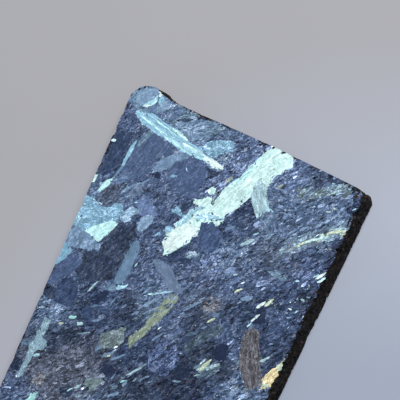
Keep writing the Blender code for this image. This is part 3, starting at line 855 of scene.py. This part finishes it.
def unseen_blades(rng):
    """Larger blades on the lower part of the slab."""
    plan = (
        ((-4.0, -30.0), (6.0, -16.5), 2.2, "mint white"), ((12.0, -20.0), (19.5, -9.0), 1.3, "cyan"),
        ((-19.5, -27.0), (-9.0, -24.5), 1.8, "steel blue"), ((2.0, -36.5), (13.0, -31.0), 1.5, "grey lens"),
        ((-14.0, -38.5), (-9.5, -31.5), 1.2, "olive"), ((16.5, -34.0), (21.5, -27.0), 1.6, "sky"),
        ((7.0, -12.5), (12.5, -6.0), 1.4, "steel blue"), ((-8.0, -22.0), (-2.0, -13.5), 1.0, "slate"),
        ((14.0, -39.0), (19.0, -36.0), 1.0, "gold"), ((-20.5, -38.0), (-16.5, -33.0), 1.6, "pale violet"),
    )
    blades = []
    for start, end, width, tone in plan:
        along = Vector(end) - Vector(start)
        angle = math.degrees(math.atan2(along.y, along.x))
        crystal = Crystal(tone_light(tone), angle, 0.5, 0.15)
        blades.append((crystal, lath_outline(start, end, width, rng.uniform(-0.15, 0.15))))
    return blades


def inside(outline, places):
    """Which of the places lie inside a closed outline."""
    held = np.zeros(len(places), bool)
    for (x1, y1), (x2, y2) in zip(outline, np.roll(outline, -1, axis=0)):
        if y1 != y2:
            level = (y1 > places[:, 1]) != (y2 > places[:, 1])
            held ^= level & (places[:, 0] < x1 + (places[:, 1] - y1) * (x2 - x1) / (y2 - y1))
    return held


def last_crystal_over(places, outlines):
    """The number of the last crystal that covers each place, from 1, or 0 for bare ground."""
    order = np.argsort(places[:, 0])
    sorted_x = places[order, 0]
    owners = np.zeros(len(places), int)
    for number, outline in enumerate(outlines, 1):
        first, last = np.searchsorted(sorted_x, (outline[:, 0].min(), outline[:, 0].max()))
        near = order[first:last]
        heights = places[near, 1]
        near = near[(heights > outline[:, 1].min()) & (heights < outline[:, 1].max())]
        owners[near[inside(outline, places[near])]] = number
    return owners.tolist()


def mosaic():
    """The crystals and the triangles of the polished face that they share."""
    rng = random.Random(11)
    large = unseen_blades(rng) + traced_crystals()
    crystals = small_laths(rng) + specks(rng) + large + border_flakes(rng, large)
    crystals += streak_flakes(rng) + scratches(rng) + rim_bruises(rng) + traced_slivers(rng)
    for crystal, _ in crystals:
        crystal.seed = rng.random()
    ring = walk(corner_points(), RIM_STEP)
    normals = outward_normals(ring)
    rim = []
    for (x, y), normal in zip(ring, normals):
        back = chip_depth(x, y)
        rim.append((x - normal[0] * back, y - normal[1] * back))

    points = [Vector(point) for point in rim]
    edges = []
    outlines = []
    for _, outline in crystals:
        placed = drifted(outline)
        start = len(points)
        points += [Vector(point) for point in placed]
        edges += [(start + step, start + (step + 1) % len(placed)) for step in range(len(placed))]
        outlines.append(np.array(placed))
    rim_face = list(range(len(rim)))[::-1]
    inside_constraints = 1
    made = delaunay_2d_cdt(points, edges, [rim_face], inside_constraints, NEARNESS)
    corners = made[0]
    triangles = [triangle for triangle, faces in zip(made[2], made[5]) if faces]
    owners = last_crystal_over(np.array(corners)[np.array(triangles)].mean(axis=1), outlines)
    return [crystal for crystal, _ in crystals], corners, list(zip(triangles, owners)), np.array(ring), normals


crystals, mosaic_corners, mosaic_triangles, ring, ring_normals = mosaic()


def make_slab_mesh():
    mesh = bpy.data.meshes.new("nuummite_slab")
    corners = [(x * MM, y * MM, THICKNESS * MM) for x, y in mosaic_corners]
    mesh.from_pydata(corners, [], [triangle for triangle, _ in mosaic_triangles])
    mesh.attributes.new("crystal", "INT", "FACE")
    mesh.attributes["crystal"].data.foreach_set("value", [owner for _, owner in mosaic_triangles])
    slab = bpy.data.objects.new("nuummite_slab", mesh)
    bpy.context.scene.collection.objects.link(slab)
    return slab


def select_only(thing):
    bpy.ops.object.select_all(action="DESELECT")
    thing.select_set(True)
    bpy.context.view_layer.objects.active = thing


def pull_sides_down(slab):
    """The rim of the polished face is extruded row by row down to the back, and the back is closed."""
    select_only(slab)
    bpy.ops.object.mode_set(mode="EDIT")
    bpy.ops.mesh.select_mode(type="VERT")
    bpy.ops.mesh.select_all(action="SELECT")
    bpy.ops.mesh.delete_loose()
    bpy.ops.mesh.select_all(action="DESELECT")
    bpy.ops.mesh.select_mode(type="EDGE")
    bpy.ops.mesh.select_non_manifold(extend=False, use_boundary=True, use_wire=False, use_multi_face=False,
                                     use_non_contiguous=False, use_verts=False)
    depth = 0.0
    for next_depth in SIDE_DEPTHS:
        drop = (0, 0, -(next_depth - depth) * MM)
        bpy.ops.mesh.extrude_region_move(TRANSFORM_OT_translate={"value": drop})
        depth = next_depth
    bpy.ops.mesh.edge_face_add()
    bpy.ops.mesh.select_all(action="SELECT")
    bpy.ops.mesh.normals_make_consistent(inside=False)
    bpy.ops.object.mode_set(mode="OBJECT")


def side_hollow(x, y, z):
    """How far the rough side stands back from the outline, in millimetres."""
    broad = max(0.0, noise.noise((x * 0.5, y * 0.5, z * 0.3 + 7)))
    steps = max(0.0, noise.noise((x * 1.2, y * 1.2, z * 0.9 + 2)))
    lumps = 0.5 + 0.5 * noise.noise((x * 1.3, y * 1.3, z * 1.5 + 4))
    grain = abs(noise.noise((x * 2.4, y * 2.4, z * 2.0)))
    return max(0.0, 0.3 * broad + 0.3 * steps + 0.16 * lumps + 0.42 * grain - 0.18)


def roughen_sides(slab):
    """Each row of the sides moves out from the chipped rim to the outline and is broken up."""
    mesh = slab.data
    places = np.zeros(len(mesh.vertices) * 3)
    mesh.vertices.foreach_get("co", places)
    places = places.reshape(-1, 3) / MM
    top = THICKNESS - 0.5 * SIDE_DEPTHS[0]
    below = np.nonzero(places[:, 2] < top)[0]
    for index in below:
        x, y, z = places[index]
        gaps = (ring[:, 0] - x) ** 2 + (ring[:, 1] - y) ** 2
        nearest = int(gaps.argmin())
        edge, normal = ring[nearest], ring_normals[nearest]
        rim_back = float((edge - (x, y)) @ normal)
        slide = (x - edge[0]) * -normal[1] + (y - edge[1]) * normal[0]
        foot = edge + slide * np.array((-normal[1], normal[0]))
        depth = THICKNESS - z
        chip = rim_back * math.exp(-depth / (0.25 + 0.8 * rim_back))
        lift = min(1.0, z / 0.5)
        back = max(chip, 0.02 + side_hollow(foot[0], foot[1], z) * min(1.0, depth / 0.5)) + 0.16 * (1 - lift)
        places[index, 0] = foot[0] - normal[0] * back
        places[index, 1] = foot[1] - normal[1] * back
    mesh.vertices.foreach_set("co", (places * MM).ravel())
    mesh.update()


def paint_crystals(slab):
    """Each corner of each face carries its crystal's tone and grain."""
    mesh = slab.data
    tone = mesh.color_attributes.new("tone", "FLOAT_COLOR", "CORNER")
    grain = mesh.color_attributes.new("grain", "FLOAT_COLOR", "CORNER")
    owners = mesh.attributes["crystal"].data
    tones = np.ones((len(mesh.loops), 4))
    grains = np.ones((len(mesh.loops), 4))
    tone_at = {}
    for polygon in mesh.polygons:
        owner = owners[polygon.index].value
        flat = polygon.normal.z > 0.9
        for loop in polygon.loop_indices:
            if flat and owner > 0:
                crystal = crystals[owner - 1]
                tones[loop, :3] = crystal.tone
                grains[loop] = (crystal.angle % 180 / 180, crystal.streak, crystal.flake, crystal.seed)
            else:
                corner = mesh.loops[loop].vertex_index
                if corner not in tone_at:
                    x, y, _ = mesh.vertices[corner].co / MM
                    tone_at[corner] = (ground_tone(x, y), fibre_direction(x, y))
                tones[loop, :3] = tone_at[corner][0]
                grains[loop] = (52 / 180, 0.25, 0.8, 0.5)
    tone.data.foreach_set("color", tones.ravel())
    grain.data.foreach_set("color", grains.ravel())


# Materials

def add(tree, kind, inputs=(), **settings):
    """A node with its settings and inputs. An input is a value or another node's output."""
    made = tree.nodes.new(kind)
    for name, value in settings.items():
        setattr(made, name, value)
    for socket, value in dict(inputs).items():
        if isinstance(value, bpy.types.NodeSocket):
            tree.links.new(value, made.inputs[socket])
        else:
            made.inputs[socket].default_value = value
    return made


def new_group(name, inputs, outputs):
    group = bpy.data.node_groups.new(name, "ShaderNodeTree")
    for label, kind, value in inputs:
        socket = group.interface.new_socket(name=label, in_out="INPUT", socket_type="NodeSocket" + kind)
        if value is not None:
            socket.default_value = value
    for label, kind in outputs:
        group.interface.new_socket(name=label, in_out="OUTPUT", socket_type="NodeSocket" + kind)
    return group, group.nodes.new("NodeGroupInput").outputs, group.nodes.new("NodeGroupOutput").inputs


def maths(tree, operation, first, second=0.0, third=0.0):
    return add(tree, "ShaderNodeMath", {0: first, 1: second, 2: third}, operation=operation).outputs[0]


def stretch(tree, value, low_in, high_in, low_out=0.0, high_out=1.0):
    """A value's range moved to another range, and cut off there."""
    values = {"Value": value, "From Min": low_in, "From Max": high_in, "To Min": low_out, "To Max": high_out}
    return add(tree, "ShaderNodeMapRange", values).outputs[0]


def turned_grain_group():
    """Millimetre coordinates that run along a crystal's fibres."""
    group, given, result = new_group("turned grain", [("Turn", "Float", 0.0), ("Seed", "Float", 0.0)],
                                     [("Vector", "Vector")])
    place = add(group, "ShaderNodeTexCoord").outputs["Object"]
    in_mm = add(group, "ShaderNodeVectorMath", {0: place, 3: 1 / MM}, operation="SCALE")
    turned = add(group, "ShaderNodeVectorRotate",
                 {"Vector": in_mm.outputs[0], "Angle": maths(group, "MULTIPLY", given["Turn"], -math.pi)},
                 rotation_type="Z_AXIS")
    shift = add(group, "ShaderNodeCombineXYZ", {0: maths(group, "MULTIPLY", given["Seed"], 61.0),
                                                1: maths(group, "MULTIPLY", given["Seed"], 143.0)})
    moved = add(group, "ShaderNodeVectorMath", {0: turned.outputs[0], 1: shift.outputs[0]}, operation="ADD")
    group.links.new(moved.outputs[0], result["Vector"])
    return group


def scaled(tree, vector, x, y, z):
    return add(tree, "ShaderNodeVectorMath", {0: vector, 1: (x, y, z)}, operation="MULTIPLY").outputs[0]


def fibres_group():
    """Fine streaks along a crystal, 0 to 1, and the cracks across it."""
    group, given, result = new_group("fibres", [("Grain", "Vector", None)], [("Fibre", "Float"), ("Crack", "Float")])
    long_noise = add(group, "ShaderNodeTexNoise", {"Vector": scaled(group, given["Grain"], 0.4, 4.2, 1.0),
                                                   "Scale": 1.0, "Detail": 4.0, "Roughness": 0.7})
    group.links.new(stretch(group, long_noise.outputs["Fac"], 0.3, 0.7), result["Fibre"])
    cross = add(group, "ShaderNodeTexNoise", {"Vector": scaled(group, given["Grain"], 1.5, 0.45, 1.0),
                                              "Scale": 1.0, "Detail": 4.0, "Roughness": 0.7})
    band = maths(group, "ABSOLUTE", maths(group, "SUBTRACT", cross.outputs["Fac"], 0.5))
    group.links.new(stretch(group, band, 0.0, 0.015, 1.0, 0.0), result["Crack"])
    return group


def flakes_group():
    """Overlapping flakes in two sizes, mostly dark, with dark gaps among them, and a mask for painted glints: bright
    specks that stand in for light caught by tiny flakes.
    """
    group, given, result = new_group("flakes", [("Grain", "Vector", None)],
                                     [("Large", "Float"), ("Small", "Float"), ("Hue", "Float"), ("Gap", "Float"),
                                      ("Glint", "Float"), ("Dust", "Float")])
    drift = add(group, "ShaderNodeTexNoise", {"Vector": given["Grain"], "Scale": 2.6, "Detail": 3.0})
    bent = add(group, "ShaderNodeMix", {4: given["Grain"], 5: drift.outputs["Color"], "Factor": 0.45},
               data_type="VECTOR")
    bent = bent.outputs[1]
    for label, size in (("Large", (1.5, 4.3, 1.0)), ("Small", (3.2, 7.8, 1.0))):
        cells = add(group, "ShaderNodeTexVoronoi", {"Vector": scaled(group, bent, *size), "Scale": 1.0})
        parts = add(group, "ShaderNodeSeparateColor", {0: cells.outputs["Color"]})
        group.links.new(maths(group, "POWER", parts.outputs[0], 1.8), result[label])
        if label == "Large":
            group.links.new(parts.outputs[1], result["Hue"])
        else:
            group.links.new(stretch(group, parts.outputs[2], 0.97, 0.985), result["Glint"])
    gaps = add(group, "ShaderNodeTexNoise", {"Vector": scaled(group, given["Grain"], 0.85, 2.5, 1.0), "Scale": 1.0,
                                             "Detail": 5.0, "Roughness": 0.68, "Distortion": 0.6})
    group.links.new(stretch(group, gaps.outputs["Fac"], 0.4, 0.46, 1.0, 0.0), result["Gap"])
    dust = add(group, "ShaderNodeTexNoise", {"Vector": scaled(group, given["Grain"], 3.2, 8.0, 1.0), "Scale": 1.0,
                                             "Detail": 2.0, "Roughness": 0.6})
    group.links.new(stretch(group, dust.outputs["Fac"], 0.3, 0.7), result["Dust"])
    return group


def mottle_group():
    """Soft cloudy shade, 0 to 1."""
    group, given, result = new_group("mottle", [("Scale", "Float", 1.0)], [("Shade", "Float")])
    place = add(group, "ShaderNodeTexCoord").outputs["Object"]
    in_mm = add(group, "ShaderNodeVectorMath", {0: place, 3: 1 / MM}, operation="SCALE").outputs[0]
    cloud = add(group, "ShaderNodeTexNoise", {"Vector": in_mm, "Scale": given["Scale"], "Detail": 5.0,
                                              "Roughness": 0.6})
    group.links.new(stretch(group, cloud.outputs["Fac"], 0.3, 0.7), result["Shade"])
    return group


def place_group(tree, group, inputs=()):
    made = tree.nodes.new("ShaderNodeGroup")
    made.node_tree = group
    for socket, value in dict(inputs).items():
        if isinstance(value, bpy.types.NodeSocket):
            tree.links.new(value, made.inputs[socket])
        else:
            made.inputs[socket].default_value = value
    return made.outputs


def mixed(tree, factor, first, second, blend="MIX"):
    made = add(tree, "ShaderNodeMix", {0: factor, 6: first, 7: second}, data_type="RGBA", blend_type=blend)
    return made.outputs[2]


def tinted(tree, colour, value):
    """A colour made darker or lighter by a value."""
    return add(tree, "ShaderNodeVectorMath", {0: colour, 3: value}, operation="SCALE").outputs[0]


def new_material(name, roughness, shine=0.3):
    material = bpy.data.materials.new(name)
    material.use_nodes = True
    shader = material.node_tree.nodes["Principled BSDF"]
    shader.inputs["Roughness"].default_value = roughness
    shader.inputs["Specular IOR Level"].default_value = shine
    return material, material.node_tree, shader


TURNED_GRAIN = turned_grain_group()
FIBRES = fibres_group()
FLAKES = flakes_group()
MOTTLE = mottle_group()


def polished_stone():
    material, tree, shader = new_material("polished nuummite", 0.4, 0.24)
    tone = add(tree, "ShaderNodeAttribute", attribute_name="tone").outputs["Color"]
    grain = add(tree, "ShaderNodeAttribute", attribute_name="grain")
    parts = add(tree, "ShaderNodeSeparateColor", {0: grain.outputs["Color"]}).outputs
    turn, streak, flake, seed = parts[0], parts[1], parts[2], grain.outputs["Alpha"]
    along = place_group(tree, TURNED_GRAIN, {"Turn": turn, "Seed": seed})["Vector"]
    fibres = place_group(tree, FIBRES, {"Grain": along})
    flakes = place_group(tree, FLAKES, {"Grain": along})
    mottle = place_group(tree, MOTTLE, {"Scale": 0.9})["Shade"]

    large = stretch(tree, flakes["Large"], 0.0, 1.0, 0.6, 1.85)
    small = stretch(tree, flakes["Small"], 0.0, 1.0, 0.46, 2.15)
    dusty = maths(tree, "POWER", 10.0, maths(tree, "SUBTRACT", flakes["Dust"], 0.5))
    flaky = maths(tree, "MULTIPLY", maths(tree, "MULTIPLY", large, small), dusty)
    flaky = add(tree, "ShaderNodeMix", {0: flake, 2: 1.0, 3: flaky}).outputs[0]
    streaky = maths(tree, "MULTIPLY", maths(tree, "SUBTRACT", fibres["Fibre"], 0.5), streak)
    cloudy = stretch(tree, mottle, 0.0, 1.0, 0.8, 1.2)
    lift = maths(tree, "MULTIPLY", maths(tree, "MULTIPLY", flaky, cloudy), maths(tree, "ADD", streaky, 1.0))
    gap = maths(tree, "MULTIPLY", flakes["Gap"], flake)
    lift = maths(tree, "MULTIPLY", lift, maths(tree, "SUBTRACT", 1.0, gap))

    warm = maths(tree, "MULTIPLY", stretch(tree, flakes["Hue"], 0.84, 0.9), maths(tree, "MULTIPLY", flake, 0.28))
    colour = mixed(tree, warm, tone, (0.1, 0.09, 0.105, 1.0))
    colour = tinted(tree, colour, maths(tree, "MINIMUM", lift, 1.15))
    pale = maths(tree, "MULTIPLY", maths(tree, "MAXIMUM", maths(tree, "SUBTRACT", lift, 1.15), 0.0), 0.85)
    bright = add(tree, "ShaderNodeSeparateColor", {0: tone}).outputs[1]
    pale_tone = tinted(tree, (0.88, 1.0, 1.16), maths(tree, "MULTIPLY", bright, pale))
    colour = add(tree, "ShaderNodeVectorMath", {0: colour, 1: pale_tone}, operation="ADD").outputs[0]
    crack = maths(tree, "MULTIPLY", fibres["Crack"], maths(tree, "MULTIPLY", streak, 0.55))
    colour = mixed(tree, crack, colour, (0.1, 0.17, 0.19, 1.0))
    # Painted glints: rare specks lifted to over twice the crystal's tone, standing in for light caught by tiny flakes
    glint = maths(tree, "MULTIPLY", flakes["Glint"], maths(tree, "MULTIPLY", flake, 0.8))
    painted_glint_colour = add(tree, "ShaderNodeVectorMath", {0: tinted(tree, tone, 2.2), 1: (0.06, 0.07, 0.09)}, operation="ADD")
    colour = mixed(tree, glint, colour, painted_glint_colour.outputs[0])
    tree.links.new(colour, shader.inputs["Base Color"])
    tree.links.new(stretch(tree, flakes["Small"], 0.0, 1.0, 0.22, 0.36), shader.inputs["Roughness"])
    relief = maths(tree, "MULTIPLY_ADD", flakes["Large"], 0.6, maths(tree, "MULTIPLY", flakes["Small"], 0.4))
    relief = maths(tree, "SUBTRACT", relief, maths(tree, "MULTIPLY", flakes["Gap"], 0.7))
    relief = maths(tree, "MULTIPLY", relief, flake)
    relief = maths(tree, "MULTIPLY_ADD", fibres["Fibre"], maths(tree, "MULTIPLY", streak, 0.4), relief)
    bump = add(tree, "ShaderNodeBump", {"Strength": 0.8, "Distance": 0.05 * MM, "Height": relief})
    tree.links.new(bump.outputs[0], shader.inputs["Normal"])
    return material


def rough_stone():
    material, tree, shader = new_material("rough sawn side", 0.9, 0.08)
    along = place_group(tree, TURNED_GRAIN, {"Turn": 0.2, "Seed": 0.0})["Vector"]
    flakes = place_group(tree, FLAKES, {"Grain": scaled(tree, along, 1.0, 0.6, 3.6)})
    broad = place_group(tree, MOTTLE, {"Scale": 0.7})["Shade"]
    close = place_group(tree, MOTTLE, {"Scale": 1.9})["Shade"]
    # The side's tones are partly the dark stone and partly painted shade: they are set darker still so the side stays
    # nearly black though the lamps reach it
    colour = mixed(tree, broad, (0.0012, 0.002, 0.0028, 1.0), (0.0165, 0.0128, 0.0122, 1.0))
    rust = maths(tree, "MULTIPLY", stretch(tree, close, 0.56, 0.76), stretch(tree, broad, 0.3, 0.7))
    colour = mixed(tree, rust, colour, (0.044, 0.029, 0.025, 1.0))
    moss = maths(tree, "MULTIPLY", stretch(tree, close, 0.38, 0.2), stretch(tree, broad, 0.6, 0.3))
    colour = mixed(tree, moss, colour, (0.025, 0.033, 0.032, 1.0))
    lift = maths(tree, "MULTIPLY", stretch(tree, flakes["Small"], 0.0, 1.0, 0.4, 2.4),
                 stretch(tree, flakes["Dust"], 0.0, 1.0, 0.5, 1.7))
    colour = tinted(tree, colour, lift)
    # Painted glints on the rough side: rare pale specks standing in for light caught by flakes
    glint = maths(tree, "MULTIPLY", flakes["Glint"], 0.1)
    colour = mixed(tree, glint, colour, (0.2, 0.2, 0.18, 1.0))
    tree.links.new(colour, shader.inputs["Base Color"])
    return material


def sawn_back():
    material, tree, shader = new_material("sawn back", 0.7)
    along = place_group(tree, TURNED_GRAIN, {"Turn": 0.3, "Seed": 0.2})["Vector"]
    flakes = place_group(tree, FLAKES, {"Grain": along})
    mottle = place_group(tree, MOTTLE, {"Scale": 0.3})["Shade"]
    colour = mixed(tree, mottle, (0.05, 0.06, 0.08, 1.0), (0.09, 0.1, 0.12, 1.0))
    colour = tinted(tree, colour, stretch(tree, flakes["Large"], 0.0, 1.0, 0.7, 1.3))
    tree.links.new(colour, shader.inputs["Base Color"])
    return material


def dress_slab(slab):
    mesh = slab.data
    for material in (polished_stone(), rough_stone(), sawn_back()):
        mesh.materials.append(material)
    top_level = (THICKNESS - 0.01) * MM
    for polygon in mesh.polygons:
        if polygon.normal.z > 0.9 and polygon.center.z > top_level:
            polygon.material_index = 0
        elif polygon.normal.z < -0.9 and polygon.center.z < 0.01 * MM:
            polygon.material_index = 2
        else:
            polygon.material_index = 1


slab = make_slab_mesh()
pull_sides_down(slab)
roughen_sides(slab)
paint_crystals(slab)
dress_slab(slab)
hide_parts("slab")
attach(slab, "root")


# The floor, the light and the camera

SHADED_PLACE = (45 * MM, -15 * MM, 0)    # where the paper is darkest
SHADED_PAPER = (0.35, 0.4, 0.5, 1.0)
BLUE_PAPER = (0.43, 0.47, 0.57, 1.0)
GREY_PAPER = (0.4, 0.4, 0.43, 1.0)


def plain_backdrop():
    """Pale grey paper that turns bluer, and then darker toward one corner, where painted shade stands for the light
    falling off.
    """
    material, tree, shader = new_material("backdrop paper", 0.9)
    place = add(tree, "ShaderNodeTexCoord").outputs["Object"]
    gap = add(tree, "ShaderNodeVectorMath", {0: place, 1: SHADED_PLACE}, operation="DISTANCE").outputs["Value"]
    share = stretch(tree, gap, 30 * MM, 110 * MM)
    ramp = add(tree, "ShaderNodeValToRGB", {0: share}, label="backdrop tones")
    stops = ((0.0, SHADED_PAPER), (0.3, BLUE_PAPER), (0.7, GREY_PAPER))
    while len(ramp.color_ramp.elements) < len(stops):
        ramp.color_ramp.elements.new(0.5)
    for stop, (position, colour) in zip(ramp.color_ramp.elements, stops):
        stop.position = position
        stop.color = colour
    grain = place_group(tree, MOTTLE, {"Scale": 0.05})["Shade"]
    colour = tinted(tree, ramp.outputs[0], stretch(tree, grain, 0.0, 1.0, 0.99, 1.01))
    tree.links.new(colour, shader.inputs["Base Color"])
    return material


def make_floor():
    select_only(slab)
    bpy.ops.mesh.primitive_plane_add(size=3.0, location=(0, 0, 0))
    floor = bpy.context.active_object
    floor.name = "floor"
    floor.data.materials.append(plain_backdrop())


def add_light(name, place, size, power, colour):
    light = bpy.data.lights.new(name, "AREA")
    light.shape = "DISK"
    light.size = size
    light.energy = power
    light.color = colour
    lamp = bpy.data.objects.new(name, light)
    lamp.location = place
    lamp.rotation_euler = (-Vector(place)).to_track_quat("-Z", "Y").to_euler()
    bpy.context.scene.collection.objects.link(lamp)


def light_studio():
    world = bpy.data.worlds.new("studio")
    world.use_nodes = True
    world.node_tree.nodes["Background"].inputs["Color"].default_value = (0.8, 0.84, 0.9, 1.0)
    world.node_tree.nodes["Background"].inputs["Strength"].default_value = 0.16
    bpy.context.scene.world = world
    add_light("key", (0.35, 0.85, 1.15), 0.9, 22.0, (1.0, 0.99, 0.97))
    add_light("overhead", (0.6, 0.4, 1.6), 1.2, 6.0, (0.95, 0.97, 1.0))
    bpy.context.scene.view_settings.view_transform = "Standard"


def place_camera():
    """The photograph looks down on the slab from its right side, and is turned."""
    azimuth, elevation, roll = math.radians(92), math.radians(64), math.radians(-66.86)
    aim = Vector((-2.86, 26.10, THICKNESS)) * MM
    distance = 272.6 * MM
    back = Vector((math.sin(azimuth) * math.cos(elevation), -math.cos(azimuth) * math.cos(elevation),
                   math.sin(elevation)))
    level = Vector((math.cos(azimuth), math.sin(azimuth), 0.0))
    rise = back.cross(level)
    right = level * math.cos(roll) + rise * math.sin(roll)
    up = rise * math.cos(roll) - level * math.sin(roll)
    camera = bpy.data.objects.new("camera", bpy.data.cameras.new("camera"))
    camera.data.lens = 150.0
    camera.data.clip_start = 0.01
    camera.matrix_world = Matrix.Translation(aim + back * distance) @ Matrix((right, up, back)).transposed().to_4x4()
    bpy.context.scene.collection.objects.link(camera)
    bpy.context.scene.camera = camera


make_floor()
light_studio()
place_camera()
